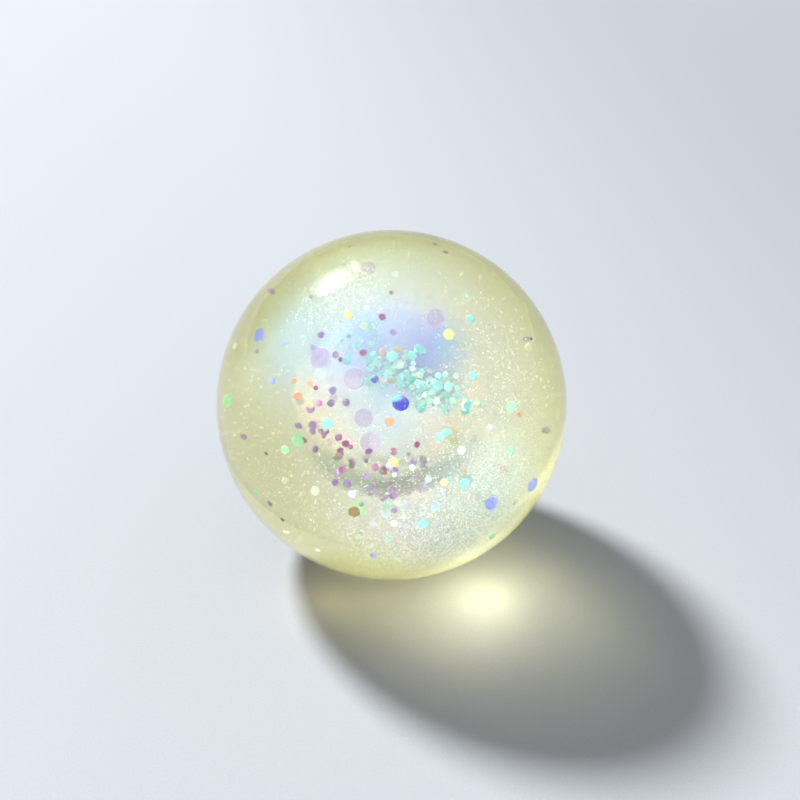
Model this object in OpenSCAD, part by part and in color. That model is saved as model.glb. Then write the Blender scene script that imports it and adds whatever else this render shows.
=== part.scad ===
// Glitter squeeze ball: a tinted rubber skin, closed by a bonded plug, around a clear gel full of glitter.
// The gel turns pearly inwards, in two zones: a thin haze and a dense cloud in its middle.
// The origin is the middle of the flat foot that the soft ball settles on, with +Z up.

/* [Ball] */
// Outside diameter of the skin
ball_d = 65; // [50:1:90]
// Thickness of the skin
skin_wall = 3; // [2:0.5:6]
// Diameter of the flat that the ball rests on
foot_d = 20; // [17:1:30]

/* [Filling hole and plug] */
// Bore of the filling hole through the neck
hole_d = 6; // [4:0.5:8]
// Wall of the moulded neck around the hole
neck_wall = 4; // [3:0.5:8]
// Height of the neck's inner end above the foot
neck_h = 7; // [6:0.5:12]
// Width of the plug head's rim outside the hole
head_rim = 1.8; // [1:0.2:3]
// Thickness of the plug's head
head_t = 1.6; // [1:0.2:3]
// Depth of the plug head's face above the foot plane
head_recess = 0.5; // [0.2:0.1:1]
// Width of the sealant ring around the plug's head
sealant_w = 0.8; // [0.4:0.1:1.5]
// Width of the plug's locking bulb outside the hole
bulb_rim = 1.2; // [0.6:0.2:2]
// Height of the plug's locking bulb
bulb_h = 2.4; // [1.5:0.1:4]
// Clearance of the plug in its hole
plug_clearance = 0.05; // [0.02:0.01:0.1]

/* [Gel] */
// Gap between the gel and what holds it
gel_gap = 0.2; // [0.1:0.05:0.4]
// Depth of the clear gel over the pearl haze
clear_depth = 3.8; // [2:0.1:8]
// Least thickness of gel above the plug's bulb and around the pearl cloud
gel_web = 1; // [0.5:0.1:3]
// Width of the pearl cloud
cloud_d = 26; // [10:0.5:36]
// Distance of the pearl cloud's middle from the ball's centre, upwards on the show side
cloud_lift = 2.9; // [0:0.1:6]
// Distance that the gel sinks when the ball is squeezed flat
squeeze_travel = 9; // [4:0.5:12]
// Refractive index of the gel, which sets where a flake seems to lie
gel_index = 1.42; // [1.33:0.01:1.5]

/* [Glitter] */
// Thickness of a flake
flake_t = 0.2; // [0.1:0.05:0.4]
// Width of an aqua hexagon
aqua_d = 2; // [1:0.1:2.6]
// Width of a mint hexagon
mint_d = 2.4; // [1:0.1:3]
// Width of a gold hexagon
gold_d = 2; // [1:0.1:2.6]
// Width of a coral hexagon
coral_d = 1.6; // [1:0.1:2.4]
// Width of a pearl hexagon
pearl_d = 1.6; // [1:0.1:2.4]
// Width of a lilac film disc
lilac_d = 3.6; // [2.6:0.1:4]
// Width of a violet dot
violet_d = 1.4; // [0.8:0.1:2]
// Width of a magenta dot
magenta_d = 1.2; // [0.8:0.1:2]
// Width of a periwinkle dot
periwinkle_d = 2.4; // [1:0.1:3]
// Width of a cobalt dot
cobalt_d = 2.6; // [1:0.1:3]
// Width of a slate dot
slate_d = 0.9; // [0.6:0.1:1.6]
// Width of a bronze chip
bronze_d = 2.2; // [1:0.1:3]
// Least gap between neighbouring flakes
flake_gap = 0.2; // [0.1:0.05:0.5]
// Clearance of a flake in its pocket in the gel, and of one zone of the gel in the next
pocket_gap = 0.04; // [0.02:0.01:0.1]
// Angle above the horizon that the glitter's show side looks at
show_tilt = 33; // [0:1:90]
// Greatest tilt of a flake away from the show side
flake_tilt = 55; // [0:1:80]
// Seed of the scattered flakes
glitter_seed = 30; // [1:1:99]

/* [Hidden] */
ball_r = ball_d / 2;
foot_r = foot_d / 2;
hole_r = hole_d / 2;
neck_r = hole_r + neck_wall;
head_r = hole_r + head_rim;
bulb_r = hole_r + bulb_rim;
// The recess in the foot that the plug's head and its sealant ring sit in
recess_r = head_r + sealant_w;
recess_depth = head_recess + head_t;
// Height of the ball's centre above the foot
centre_z = sqrt(ball_r * ball_r - foot_r * foot_r);
cavity_r = ball_r - skin_wall;
gel_r = cavity_r - gel_gap;
bulb_top = neck_h + bulb_h;
// The haze is a ball about the ball's centre, cut flat over the plug, and the cloud a smaller ball in it
haze_r = gel_r - clear_depth;
haze_floor = bulb_top + gel_gap + gel_web;
cloud_z = centre_z + cloud_lift * cos(show_tilt);
cloud_r = min(cloud_d / 2, haze_r - cloud_lift - gel_web, cloud_z - haze_floor - gel_web);
ball_middle = [0, 0, 0];
cloud_middle = [0, cloud_lift, 0];
// How far a cutting cylinder runs past the face that it cuts
overcut = 1;
$fn = 96;

// Each kind of flake: its name, its width and its number of sides, where a dot is round
HEX = 6;
ROUND = 32;
AQUA = ["aqua", aqua_d, HEX];
MINT = ["mint", mint_d, HEX];
GOLD = ["gold", gold_d, HEX];
CORAL = ["coral", coral_d, HEX];
PEARL = ["pearl", pearl_d, HEX];
LILAC = ["lilac", lilac_d, ROUND];
VIOLET = ["violet", violet_d, ROUND];
MAGENTA = ["magenta", magenta_d, ROUND];
PERIWINKLE = ["periwinkle", periwinkle_d, ROUND];
COBALT = ["cobalt", cobalt_d, ROUND];
SLATE = ["slate", slate_d, ROUND];
BRONZE = ["bronze", bronze_d, HEX];
KINDS = [
    AQUA, MINT, GOLD, CORAL, PEARL, LILAC,
    VIOLET, MAGENTA, PERIWINKLE, COBALT, SLATE, BRONZE,
];

// Flakes that stand out: kind, where each one shows on the ball's face (across, up) and its depth towards
// the show side, all as shares of the ball's radius, and its share of the kind's width
KEY_FLAKES = [
    [COBALT, 0.05, 0.01, 0.52, 1], [COBALT, -0.09, 0.14, 0.62, 0.5],
    [PERIWINKLE, -0.74, 0.39, 0.42, 1], [PERIWINKLE, -0.64, 0.13, 0.6, 0.5],
    [PERIWINKLE, -0.57, 0.34, 0.62, 0.4], [PERIWINKLE, 0.78, -0.44, 0.25, 1],
    [PERIWINKLE, 0.55, -0.54, 0.5, 1], [PERIWINKLE, -0.1, -0.82, 0.4, 0.5],
    [MINT, -0.5, -0.19, 0.66, 1], [MINT, -0.57, -0.24, 0.6, 0.7], [MINT, 0.64, -0.01, 0.6, 0.9],
    [MINT, -0.75, -0.49, 0.22, 0.5], [MINT, 0.56, -0.73, 0.2, 0.6],
    [GOLD, 0.31, 0.38, 0.55, 1], [GOLD, -0.23, 0.48, 0.68, 0.8], [GOLD, 0.01, -0.31, 0.6, 1],
    [CORAL, -0.05, 0.29, 0.55, 0.8], [CORAL, -0.5, 0.05, 0.66, 1], [CORAL, 0.28, -0.41, 0.7, 1],
    [CORAL, -0.01, -0.09, 0.5, 1], [CORAL, 0.69, -0.05, 0.55, 0.7], [CORAL, -0.44, 0.11, 0.7, 0.9],
    [CORAL, -0.43, 0, 0.7, 0.8], [CORAL, -0.52, 0.13, 0.66, 0.7],
    [PEARL, 0.04, 0.22, 0.55, 1],
    [LILAC, -0.38, 0.25, 0.7, 1], [LILAC, -0.2, 0.14, 0.6, 0.95], [LILAC, 0.24, 0.47, 0.5, 0.9],
    [LILAC, -0.15, -0.07, 0.6, 0.8], [LILAC, -0.11, -0.2, 0.6, 0.95], [LILAC, -0.13, 0.75, 0.35, 0.7],
    [BRONZE, -0.2, -0.57, 0.64, 1], [BRONZE, -0.6, -0.63, 0.3, 0.4], [BRONZE, 0, 0.6, 0.64, 0.4],
    [MAGENTA, -0.3, 0.27, 0.6, 1], [MAGENTA, -0.25, -0.21, 0.5, 1], [MAGENTA, -0.09, -0.34, 0.5, 1],
    [MAGENTA, -0.27, -0.35, 0.5, 1], [MAGENTA, -0.05, 0.47, 0.65, 1],
    [VIOLET, -0.32, 0.08, 0.5, 0.9], [VIOLET, -0.33, 0.01, 0.5, 0.9], [VIOLET, -0.44, -0.02, 0.5, 1],
    [VIOLET, -0.43, -0.11, 0.5, 1], [VIOLET, 0.01, 0.39, 0.6, 0.8], [VIOLET, 0.12, -0.31, 0.5, 0.8],
    [AQUA, 0.43, 0.47, 0.45, 0.7], [AQUA, 0.44, 0.16, 0.5, 0.8], [AQUA, 0.39, -0.42, 0.65, 1],
    [AQUA, 0.17, -0.64, 0.6, 1], [AQUA, 0.23, -0.55, 0.64, 0.7], [AQUA, -0.35, -0.1, 0.55, 1],
    [SLATE, -0.38, -0.14, 0.6, 1],
];

// Where scattered flakes gather on the show side: a slanting band across the middle, an arc left of it and
// a skirt right of and below it. Each mix gives the share of the places that a kind takes.
band_middle = [0.08, 0.16];
band_slope = -30;
band_half_length = 0.42;
band_half_width = 0.16;
band_depth = [-0.2, 0.6];
arc_reach = [0.25, 0.56];
arc_angles = [110, 300];
skirt_reach = [0.3, 0.85];
skirt_angles = [265, 350];
BAND_MIX = [[AQUA, 0.64], [PEARL, 0.12], [CORAL, 0.05], [GOLD, 0.05]];
ARC_MIX = [[VIOLET, 0.12], [MAGENTA, 0.1], [SLATE, 0.08], [CORAL, 0.03]];
SKIRT_MIX = [[AQUA, 0.07], [PEARL, 0.06], [CORAL, 0.03], [MINT, 0.02], [PERIWINKLE, 0.01], [GOLD, 0.01]];
REST_MIX = [[SLATE, 0.02], [PEARL, 0.014], [MINT, 0.005], [PERIWINKLE, 0.004], [VIOLET, 0.006]];
least_share = 0.7;

// A scattered flake keeps to its own cell of a cubic grid, so no two of them meet
pitch = max([for (kind = KINDS) kind[1]]) + flake_gap;
cells = floor(gel_r / pitch);
cells_across = 2 * cells + 1;

// Chances from 0 to 1, a few for each key flake and then for each cell
draws = 7;
places = len(KEY_FLAKES) + cells_across * cells_across * cells_across;
chances = rands(0, 1, draws * places, glitter_seed);
function chances_of(place) = [for (i = [0 : draws - 1]) chances[place * draws + i]];

// A place on the show side, given across, up and towards the viewer, in the ball's own frame
function in_ball_frame(p) = [
    p.x,
    p.y * sin(show_tilt) - p.z * cos(show_tilt),
    centre_z + p.y * cos(show_tilt) + p.z * sin(show_tilt)
];

// How much wider a small thing at that depth looks through the ball
function magnified(depth) = 1 / (1 - (1 - depth / ball_r) * (1 - 1 / gel_index));

// The place at that depth on the bent ray that leaves the ball at (across, up)
function seen_at(across, up, depth) =
    let (
        offset = norm([across, up]),
        bend = asin(offset) - asin(offset / gel_index),
        inner = offset - (sqrt(1 - offset * offset) - depth) * tan(bend)
    )
    ball_r * [across * inner / offset, up * inner / offset, depth];

// The same place, drawn in towards the centre if a flake that wide would leave the gel
function kept_inside(p, wide) = p * min(1, (gel_r - flake_gap - wide / 2) / max(norm(p), flake_gap));

// True for a flake that stays in the gel and above the neck and plug when the ball is squeezed
function has_room(p, wide) =
    let (
        q = in_ball_frame(p),
        low = q.z - wide / 2,
        aside = norm([q.x, q.y]) - wide / 2
    )
    norm(p) + wide / 2 <= gel_r - flake_gap / 2
    && low > skin_wall + gel_gap + flake_gap
    && (aside > neck_r + gel_gap + flake_gap || low > bulb_top + gel_gap + flake_gap + squeeze_travel);

function within(x, limits) = x > limits[0] && x < limits[1];

// The mix for a place that shows at (across, up), at that depth as a share of the ball's radius
function mix_at(seen, depth) =
    let (
        along = seen - band_middle,
        length_in = along.x * cos(band_slope) + along.y * sin(band_slope),
        width_in = along.y * cos(band_slope) - along.x * sin(band_slope),
        reach = norm(seen),
        angle = (atan2(seen.y, seen.x) + 360) % 360
    )
    abs(length_in) < band_half_length && abs(width_in) < band_half_width && within(depth, band_depth)
        ? BAND_MIX
    : within(reach, arc_reach) && within(angle, arc_angles) ? ARC_MIX
    : within(reach, skirt_reach) && within(angle, skirt_angles) ? SKIRT_MIX
    : REST_MIX;

// The kind that a chance from 0 to 1 picks from a mix, or undef for an empty place
function pick(mix, chance, at = 0) =
    at >= len(mix) ? undef
    : chance < mix[at][1] ? mix[at][0]
    : pick(mix, chance - mix[at][1], at + 1);

// True for a flake that meets none of the others
function is_clear(place, wide, others) =
    len([for (f = others) if (norm(place - f[1]) < (wide + f[2]) / 2 + flake_gap) f]) == 0;

// A flake is [kind, place, width, tilt, turn]. A key flake with no room, or too near an earlier one,
// is left out.
placed_keys = [
    for (i = [0 : len(KEY_FLAKES) - 1])
        let (
            key = KEY_FLAKES[i],
            wide = key[0][1] * key[4],
            place = kept_inside(seen_at(key[1], key[2], key[3]), wide),
            chance = chances_of(i)
        )
        [key[0], place, wide, chance[0] * flake_tilt / 2, chance[1] * 360]
];
key_flakes = [
    for (i = [0 : len(placed_keys) - 1])
        let (f = placed_keys[i])
        if (has_room(f[1], f[2]) && is_clear(f[1], f[2], [for (j = [0 : 1 : i - 1]) placed_keys[j]])) f
];

scattered_flakes = [
    for (i = [-cells : cells], j = [-cells : cells], k = [-cells : cells])
        let (
            number = ((i + cells) * cells_across + j + cells) * cells_across + k + cells,
            chance = chances_of(len(KEY_FLAKES) + number),
            middle = pitch * [i, j, k],
            seen = [middle.x, middle.y] * magnified(middle.z) / ball_r,
            kind = pick(mix_at(seen, middle.z / ball_r), chance[0])
        )
        if (kind != undef)
            let (
                wide = kind[1] * (least_share + (1 - least_share) * chance[1]),
                play = pitch - wide - flake_gap,
                place = middle + play * [chance[2] - 0.5, chance[3] - 0.5, chance[4] - 0.5]
            )
            if (has_room(place, wide) && is_clear(place, wide, key_flakes))
                [kind, place, wide, chance[5] * flake_tilt, chance[6] * 360]
];

all_flakes = concat(key_flakes, scattered_flakes);

module flake(f, grown = 0) {
    translate(in_ball_frame(f[1]))
        rotate([90 - show_tilt, 0, 0])
            rotate([0, f[3], f[4]])
                cylinder(d = f[2] + 2 * grown, h = flake_t + 2 * grown, center = true, $fn = f[0][2]);
}

module flakes(kind) {
    for (f = all_flakes)
        if (f[0] == kind)
            flake(f);
}

// How far a flake in its pocket may reach from its own middle
function reach(f) = f[2] / 2 + flake_t + pocket_gap;

// True for a flake that may lie partly within a ball about that middle, or partly outside it
function within_ball(f, middle, r) = norm(f[1] - middle) - reach(f) < r;
function outside_ball(f, middle, r) = norm(f[1] - middle) + reach(f) > r;
function below_haze(f) = in_ball_frame(f[1]).z - reach(f) < haze_floor;

// A ball about the ball's centre, cut flat below
module flattened_ball(r, flat_z) {
    difference() {
        translate([0, 0, centre_z])
            sphere(r = r);
        translate([-r, -r, flat_z - 2 * r])
            cube(2 * r);
    }
}

// The rubber skin: a hollow ball with a flat foot and a thick neck inside around the filling hole
module ball_skin() {
    color("#e6e29a", 0.5)
        difference() {
            flattened_ball(ball_r, 0);
            difference() {
                flattened_ball(cavity_r, skin_wall);
                cylinder(r = neck_r, h = neck_h);
            }
            translate([0, 0, -overcut])
                cylinder(r = hole_r, h = neck_h + 2 * overcut);
            translate([0, 0, -overcut])
                cylinder(r = recess_r, h = recess_depth + overcut);
        }
}

// The plug: a flat head in the foot's recess, a shank in the hole and a bulb that locks behind the neck
module fill_plug() {
    color("#dcd98f")
        union() {
            translate([0, 0, head_recess])
                cylinder(r = head_r, h = head_t);
            translate([0, 0, head_recess])
                cylinder(r = hole_r - plug_clearance, h = bulb_top - head_recess);
            translate([0, 0, neck_h])
                cylinder(r1 = bulb_r, r2 = hole_r - plug_clearance, h = bulb_h);
        }
}

// The ring of sealant that bonds the plug's head into the recess
module plug_sealant() {
    color("#f0efd8")
        translate([0, 0, head_recess])
            difference() {
                cylinder(r = recess_r, h = head_t);
                translate([0, 0, -overcut])
                    cylinder(r = head_r, h = head_t + 2 * overcut);
            }
}

module cloud_ball(r) {
    translate(in_ball_frame(cloud_middle))
        sphere(r = r);
}

// The clear gel: it fills the skin around the neck, the plug's bulb and the haze, with a pocket for each flake
module gel_filling() {
    color("#eef4f6", 0.4)
        difference() {
            flattened_ball(gel_r, skin_wall + gel_gap);
            cylinder(r = neck_r + gel_gap, h = neck_h + gel_gap);
            cylinder(r = bulb_r + gel_gap, h = bulb_top + gel_gap);
            flattened_ball(haze_r + pocket_gap, haze_floor - pocket_gap);
            for (f = all_flakes)
                if (outside_ball(f, ball_middle, haze_r) || below_haze(f))
                    flake(f, pocket_gap);
        }
}

// The pearl haze: thinly pearly gel around the cloud, with a pocket for each flake
module pearl_haze() {
    color("#e6eef2", 0.5)
        difference() {
            flattened_ball(haze_r, haze_floor);
            cloud_ball(cloud_r + pocket_gap);
            for (f = all_flakes)
                if (within_ball(f, ball_middle, haze_r) && outside_ball(f, cloud_middle, cloud_r))
                    flake(f, pocket_gap);
        }
}

// The pearl cloud: dense pearly gel in the middle, with a pocket for each flake
module pearl_cloud() {
    color("#e4e2f4", 0.7)
        difference() {
            cloud_ball(cloud_r);
            for (f = all_flakes)
                if (within_ball(f, cloud_middle, cloud_r))
                    flake(f, pocket_gap);
        }
}

module aqua_hex_flakes() {
    color("#7fe8e0")
        flakes(AQUA);
}

module mint_hex_flakes() {
    color("#8ff0b4")
        flakes(MINT);
}

module gold_hex_flakes() {
    color("#f4ec8c")
        flakes(GOLD);
}

module coral_hex_flakes() {
    color("#f8b09a")
        flakes(CORAL);
}

module pearl_hex_flakes() {
    color("#f4f6fa")
        flakes(PEARL);
}

module lilac_film_discs() {
    color("#d8c4ea")
        flakes(LILAC);
}

module violet_dot_flakes() {
    color("#b48cd0")
        flakes(VIOLET);
}

module magenta_dot_flakes() {
    color("#b8559c")
        flakes(MAGENTA);
}

module periwinkle_dot_flakes() {
    color("#9aa6f4")
        flakes(PERIWINKLE);
}

module cobalt_dot_flakes() {
    color("#3a3fc8")
        flakes(COBALT);
}

module slate_dot_flakes() {
    color("#76708c")
        flakes(SLATE);
}

module bronze_chip_flakes() {
    color("#7c6440")
        flakes(BRONZE);
}

ball_skin();
fill_plug();
plug_sealant();
gel_filling();
pearl_haze();
pearl_cloud();
aqua_hex_flakes();
mint_hex_flakes();
gold_hex_flakes();
coral_hex_flakes();
pearl_hex_flakes();
lilac_film_discs();
violet_dot_flakes();
magenta_dot_flakes();
periwinkle_dot_flakes();
cobalt_dot_flakes();
slate_dot_flakes();
bronze_chip_flakes();
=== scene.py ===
"""Looks of a glitter squeeze ball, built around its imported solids. Lengths are in metres."""
import math

import bmesh
import bpy
import numpy as np
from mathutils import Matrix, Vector


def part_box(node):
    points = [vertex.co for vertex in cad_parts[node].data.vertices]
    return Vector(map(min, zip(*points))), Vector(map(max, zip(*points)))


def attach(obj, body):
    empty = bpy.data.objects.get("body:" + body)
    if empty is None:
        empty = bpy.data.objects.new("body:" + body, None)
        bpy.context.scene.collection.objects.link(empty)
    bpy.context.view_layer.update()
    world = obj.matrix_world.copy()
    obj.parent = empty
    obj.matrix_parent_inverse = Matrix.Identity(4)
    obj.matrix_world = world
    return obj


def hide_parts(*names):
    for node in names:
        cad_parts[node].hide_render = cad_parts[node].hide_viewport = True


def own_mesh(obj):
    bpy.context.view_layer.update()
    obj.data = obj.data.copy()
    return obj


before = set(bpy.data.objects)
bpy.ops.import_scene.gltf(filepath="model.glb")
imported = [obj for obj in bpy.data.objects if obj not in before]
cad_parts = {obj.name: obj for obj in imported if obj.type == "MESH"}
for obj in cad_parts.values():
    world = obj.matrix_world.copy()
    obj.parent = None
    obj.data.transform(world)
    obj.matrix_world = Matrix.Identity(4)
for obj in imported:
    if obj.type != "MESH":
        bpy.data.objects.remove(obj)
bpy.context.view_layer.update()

MM = 0.001
IMAGE_SIZE = 800

# The ball, as the solids give it
skin_low, skin_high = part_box("ball_skin")
gel_low, gel_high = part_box("gel_filling")
plug_low, plug_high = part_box("fill_plug")
_, ring_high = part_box("plug_sealant")
haze_low, haze_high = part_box("pearl_haze")
cloud_low, cloud_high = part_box("pearl_cloud")
BALL_R = (skin_high.x - skin_low.x) / 2
CENTRE = Vector((0, 0, skin_high.z - BALL_R))
GEL_R = (gel_high.x - gel_low.x) / 2
GEL_GAP = 0.2 * MM
CAVITY_R = GEL_R + GEL_GAP
FLOOR_IN = gel_low.z - GEL_GAP
RECESS_R = ring_high.x
RECESS_TOP = ring_high.z
HOLE_R = 3 * MM
NECK_R = 7 * MM
NECK_TOP = 7 * MM
BULB_R = 4.2 * MM
HEAD_R = 4.8 * MM
PLUG_FREE = 0.05 * MM
FOOT_ROUND = 15 * MM
CAVITY_ROUND = 10 * MM
HAZE_R = (haze_high.x - haze_low.x) / 2
CLOUD_R = (cloud_high.x - cloud_low.x) / 2
CLOUD_CENTRE = (cloud_low + cloud_high) / 2

# The photograph's view, with the ball's outline in its pixels
BALL_PIXEL = (391.5, 405.0)
BALL_PIXEL_R = 175.3
VIEW_ELEVATION = math.radians(33)
VIEW_DISTANCE = 10 * BALL_R
SENSOR = 36.0
VIEW_UP = Vector((0, math.sin(VIEW_ELEVATION), math.cos(VIEW_ELEVATION)))
VIEW_BACK = Vector((0, -math.cos(VIEW_ELEVATION), math.sin(VIEW_ELEVATION)))


def seen(across, up, near):
    """A direction or offset from the ball's centre, given as it lies in the photograph."""
    return Vector((across, 0, 0)) + up * VIEW_UP + near * VIEW_BACK


def link(obj):
    bpy.context.scene.collection.objects.link(obj)
    return obj


# Camera
def make_camera():
    """A camera whose frame holds the ball where the photograph has it."""
    data = bpy.data.cameras.new("view")
    focal_pixels = BALL_PIXEL_R * math.sqrt((VIEW_DISTANCE / BALL_R) ** 2 - 1)
    data.sensor_width = SENSOR
    data.lens = focal_pixels / IMAGE_SIZE * SENSOR
    data.shift_x = 0.5 - BALL_PIXEL[0] / IMAGE_SIZE
    data.shift_y = BALL_PIXEL[1] / IMAGE_SIZE - 0.5
    data.clip_start = 0.01
    camera = link(bpy.data.objects.new("view", data))
    camera.location = CENTRE + VIEW_BACK * VIEW_DISTANCE
    camera.rotation_euler = (-VIEW_BACK).to_track_quat("-Z", "Y").to_euler()
    bpy.context.scene.camera = camera


# Shader helpers
NOISE_LOW, NOISE_HIGH = 0.3, 0.7


class Nodes:
    """A material's node tree, with one short call for each node."""

    def __init__(self, name):
        self.material = bpy.data.materials.new(name)
        self.material.use_nodes = True
        self.tree = self.material.node_tree
        self.tree.nodes.clear()
        self.output = self.add("ShaderNodeOutputMaterial")

    def add(self, kind, inputs=None, **settings):
        node = self.tree.nodes.new(kind)
        for key, value in settings.items():
            setattr(node, key, value)
        for key, value in (inputs or {}).items():
            self.put(node.inputs[key], value)
        return node

    def put(self, socket, value):
        if isinstance(value, bpy.types.NodeSocket):
            self.tree.links.new(value, socket)
        else:
            socket.default_value = value

    def math(self, operation, a, b=0.0):
        return self.add("ShaderNodeMath", {0: a, 1: b}, operation=operation).outputs[0]

    def times(self, product, *others):
        """The product of some values."""
        for other in others:
            product = self.math("MULTIPLY", product, other)
        return product

    def vector(self, operation, *values):
        return self.add("ShaderNodeVectorMath", dict(enumerate(values)), operation=operation).outputs

    def ramp(self, factor, stops):
        """A colour ramp: stops are (position, (r, g, b))."""
        node = self.add("ShaderNodeValToRGB", {"Fac": factor})
        elements = node.color_ramp.elements
        while len(elements) < len(stops):
            elements.new(1.0)
        for element, (position, colour) in zip(elements, stops):
            element.position = position
            element.color = (*colour, 1)
        return node.outputs["Color"]

    def span(self, value, low, high, to_low, to_high):
        """A smooth step of a value from one range to another."""
        return self.add("ShaderNodeMapRange", {
            "Value": value, "From Min": low, "From Max": high, "To Min": to_low, "To Max": to_high,
        }, interpolation_type="SMOOTHSTEP").outputs[0]

    def place(self):
        return self.add("ShaderNodeTexCoord").outputs["Object"]

    def noise(self, scale, detail):
        inputs = {"Scale": scale, "Detail": detail, "Vector": self.place()}
        return self.add("ShaderNodeTexNoise", inputs).outputs["Fac"]

    def mottled(self, scale, detail, least, most):
        """A value that varies from place to place between two bounds."""
        return self.span(self.noise(scale, detail), NOISE_LOW, NOISE_HIGH, least, most)

    def cosine(self, middle, direction):
        """The cosine of the angle between a direction and the way to here from a middle point."""
        offset = self.vector("SUBTRACT", self.place(), middle)[0]
        unit = self.vector("NORMALIZE", offset)[0]
        return self.vector("DOT_PRODUCT", unit, direction.normalized())["Value"]

    def toward(self, middle, direction, width):
        """1 in a direction from a middle point, and 0 where the cosine has dropped by width."""
        return self.span(self.cosine(middle, direction), 1 - width, 1.0, 0.0, 1.0)

    def mix_colour(self, factor, a, b):
        node = self.add("ShaderNodeMix", data_type="RGBA")
        self.put(node.inputs["Factor"], factor)
        self.put(node.inputs[6], a)
        self.put(node.inputs[7], b)
        return node.outputs[2]

    def mix_shader(self, factor, a, b):
        return self.add("ShaderNodeMixShader", {0: factor, 1: a, 2: b}).outputs[0]

    def bump(self, height, strength, distance):
        inputs = {"Strength": strength, "Distance": distance, "Height": height}
        return self.add("ShaderNodeBump", inputs).outputs[0]

    def principled(self, inputs):
        return self.add("ShaderNodeBsdfPrincipled", inputs).outputs[0]

    def clear(self):
        return self.add("ShaderNodeBsdfTransparent").outputs[0]

    def passing(self, colour):
        """Light that is scattered on to the far side."""
        return self.add("ShaderNodeBsdfTranslucent", {"Color": colour}).outputs[0]

    def milky(self, colour, passed=0.5):
        """A film that scatters light to both of its sides."""
        back = self.add("ShaderNodeBsdfDiffuse", {"Color": colour}).outputs[0]
        return self.mix_shader(passed, back, self.passing(colour))

    def own_shade(self):
        """A chance value for each separate flake or grain."""
        return self.add("ShaderNodeNewGeometry").outputs["Random Per Island"]

    def flake_spot(self):
        """Where on its flake a point lies, with length 1 at the edge."""
        return self.add("ShaderNodeAttribute", attribute_name="flake_spot").outputs["Vector"]

    def lamps_cross(self, glass, outwards_only):
        """Glass that lamps' light crosses straight to what is within, from inside only where asked."""
        factor = self.add("ShaderNodeLightPath").outputs["Is Shadow Ray"]
        if outwards_only:
            factor = self.times(factor, self.add("ShaderNodeNewGeometry").outputs["Backfacing"])
        return self.mix_shader(factor, glass, self.clear())

    def finish(self, surface, volume=None):
        self.put(self.output.inputs["Surface"], surface)
        if volume is not None:
            self.put(self.output.inputs["Volume"], volume)
        return self.material

    def finish_film(self, share, colour, passed=0.5):
        """A milky film that covers a share of what lies behind it."""
        return self.finish(self.mix_shader(share, self.clear(), self.milky(colour, passed)))


# Materials of the ball
RUBBER_IOR = 1.42
# The rubber against the gel, which bends light nearly as much
WALL_IOR = 1.03
# The skin's tint in its lower and its upper half, from facing the eye to the rim. The upper half's is
# deeper: painted shade
LIT_LOWER_TINT = [
    (0.0, (1.0, 1.0, 1.0)),
    (0.13, (0.98, 0.99, 0.96)),
    (0.24, (0.95, 0.96, 0.86)),
    (0.36, (0.86, 0.86, 0.62)),
    (0.55, (0.74, 0.73, 0.38)),
    (0.69, (0.67, 0.65, 0.27)),
    (1.0, (0.62, 0.60, 0.22)),
]
SHADED_UPPER_TINT = [
    (0.0, (1.0, 1.0, 1.0)),
    (0.13, (0.97, 0.99, 0.98)),
    (0.24, (0.93, 0.95, 0.93)),
    (0.38, (0.80, 0.82, 0.61)),
    (0.52, (0.67, 0.66, 0.31)),
    (0.69, (0.45, 0.43, 0.08)),
    (1.0, (0.44, 0.41, 0.08)),
]
# Where the upper half's deeper tint, a painted shade, lies and how far it spreads
SHADED_HALF_TO = seen(-0.12, 1.0, 0.0)
SHADED_HALF_SPREAD = 1.1
# Patches of painted light, where the tint is clearer, and of painted shade, where it is deeper: direction,
# spread, strength, colour
PAINTED_LIGHT_SHADE_PATCHES = [
    (seen(0.42, -0.62, 0.66), 0.16, 0.7, (0.93, 0.97, 0.95, 1)),
    (seen(-0.70, -0.66, 0.28), 0.12, 0.8, (0.92, 0.91, 0.56, 1)),
    (seen(-0.74, -0.30, 0.60), 0.20, 0.75, (0.72, 0.70, 0.36, 1)),
    (seen(-0.76, 0.58, 0.26), 0.16, 0.9, (0.38, 0.36, 0.10, 1)),
]
# The tint for light that leaves the ball for the floor, dimmed as the crowd of fine glitter dims it
FLOOR_TINT = (0.014, 0.012, 0.005, 1)
RUBBER_ABSORPTION = {"Color": (0.95, 0.93, 0.55, 1), "Density": 12.0}


def skin_tint(nodes):
    """Deepest at the rim, where the way through the rubber is longest; deeper still in the upper half as
    painted shade, with patches of painted light and shade about the rim.
    """
    facing = nodes.add("ShaderNodeLayerWeight", {"Blend": 0.5}).outputs["Facing"]
    upper = nodes.toward(CENTRE, SHADED_HALF_TO, SHADED_HALF_SPREAD)
    tint = nodes.mix_colour(upper, nodes.ramp(facing, LIT_LOWER_TINT), nodes.ramp(facing, SHADED_UPPER_TINT))
    for direction, width, strength, colour in PAINTED_LIGHT_SHADE_PATCHES:
        patch = nodes.times(nodes.toward(CENTRE, direction, width), strength)
        tint = nodes.mix_colour(patch, tint, colour)
    front = nodes.math("SUBTRACT", 1.0, nodes.add("ShaderNodeNewGeometry").outputs["Backfacing"])
    from_floor = nodes.times(nodes.add("ShaderNodeLightPath").outputs["Is Diffuse Ray"], front)
    return nodes.mix_colour(from_floor, tint, FLOOR_TINT)


def skin_outer_material():
    """Clear yellow rubber, with painted light and shade in its tint."""
    nodes = Nodes("skin_outer")
    glass = nodes.principled({
        "Base Color": skin_tint(nodes), "Roughness": 0.02, "IOR": RUBBER_IOR, "Transmission Weight": 1.0,
        "Normal": nodes.bump(nodes.noise(3500, 2), 0.025, 0.2 * MM),
    })
    absorb = nodes.add("ShaderNodeVolumeAbsorption", RUBBER_ABSORPTION).outputs[0]
    return nodes.finish(nodes.lamps_cross(glass, outwards_only=True), absorb)


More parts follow.
